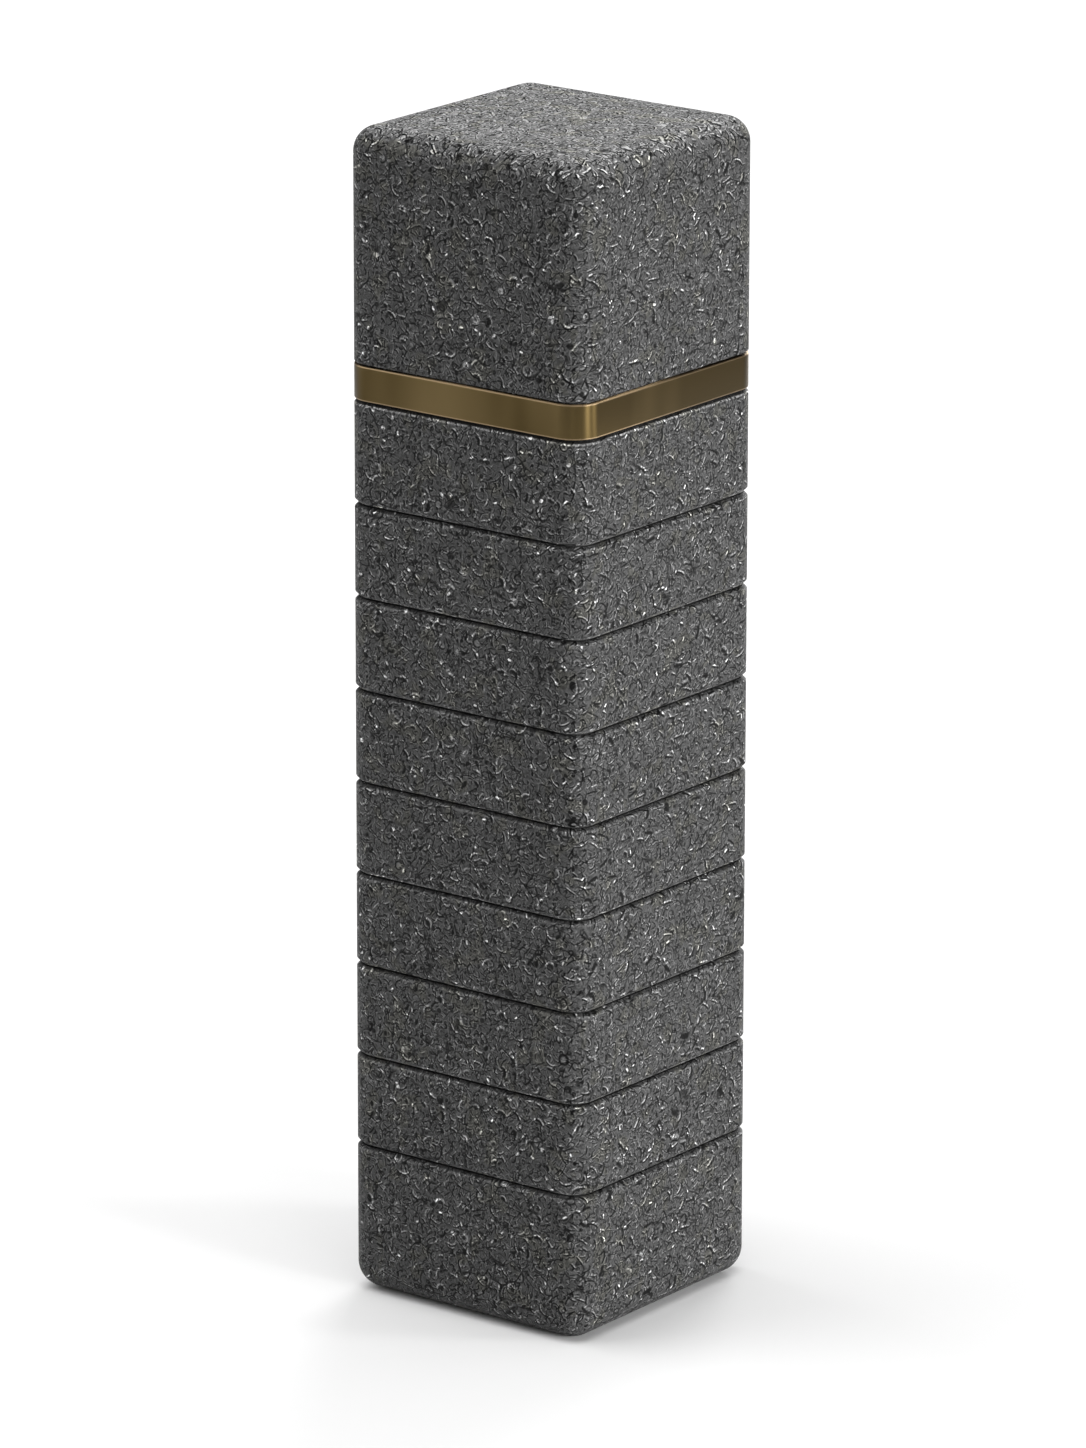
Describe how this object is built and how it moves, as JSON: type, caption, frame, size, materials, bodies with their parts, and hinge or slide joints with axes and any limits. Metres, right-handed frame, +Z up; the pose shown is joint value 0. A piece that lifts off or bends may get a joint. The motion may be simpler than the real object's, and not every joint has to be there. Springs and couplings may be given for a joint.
{
  "type": "barrier post",
  "caption": "Square free-standing barrier post of stacked precast concrete courses on a steel core, with a brass band and a lift-off head over a lifting ring.",
  "frame": {"origin": "middle of the square foot, on the ground", "axes": "+Z up the post, +X and +Y out through two neighbouring faces"},
  "size_m": [0.25, 0.25, 1.0223],
  "materials": {
    "concrete": "satin",
    "pad_rubber": "matte",
    "galvanised_steel": "matte",
    "bright_steel": "satin",
    "zinc_screw": "satin",
    "spacer_plastic": "matte",
    "sleeve_plastic": "matte",
    "dark_brass": "satin",
    "adhesive": "matte",
    "ring_paint": "satin"
  },
  "bodies": {
    "post": {"bearing_mat": "pad_rubber", "base_plate": "galvanised_steel", "core_tube": "galvanised_steel", "tube_weld": "galvanised_steel", "plug_plate": "galvanised_steel", "tube_spacers": "spacer_plastic", "base_course": "concrete", "course_1": "concrete", "course_2": "concrete", "course_3": "concrete", "course_4": "concrete", "course_5": "concrete", "course_6": "concrete", "course_7": "concrete", "collar_course": "concrete", "joint_pad_1": "pad_rubber", "joint_pad_2": "pad_rubber", "joint_pad_3": "pad_rubber", "joint_pad_4": "pad_rubber", "joint_pad_5": "pad_rubber", "joint_pad_6": "pad_rubber", "joint_pad_7": "pad_rubber", "joint_pad_8": "pad_rubber", "course_dowels": "bright_steel", "dowel_sleeves": "sleeve_plastic", "band_seat": "pad_rubber", "brass_band": "dark_brass", "band_bond": "adhesive", "head_pad": "pad_rubber", "clamp_plate": "galvanised_steel", "clamp_screws": "zinc_screw", "ring_bush": "bright_steel", "ring_washer": "zinc_screw", "ring_bolt": "zinc_screw"},
    "head": {"head_block": "concrete"},
    "swivel": {"ring_swivel": "ring_paint"},
    "bail": {"ring_bail": "ring_paint"}
  },
  "joints": [
    {"name": "head_lift", "type": "slide", "parent": "post", "child": "head", "axis": [0, 0, 1], "range_m": [0, 0.15]},
    {"name": "ring_turn", "type": "hinge", "parent": "post", "child": "swivel", "pos_m": [0, 0, 0.85225], "axis": [0, 0, 1], "continuous": true},
    {"name": "bail_swing", "type": "hinge", "parent": "swivel", "child": "bail", "pos_m": [0, 0, 0.85225], "axis": [-1, 0, 0], "range_deg": [0, 192]}
  ]
}
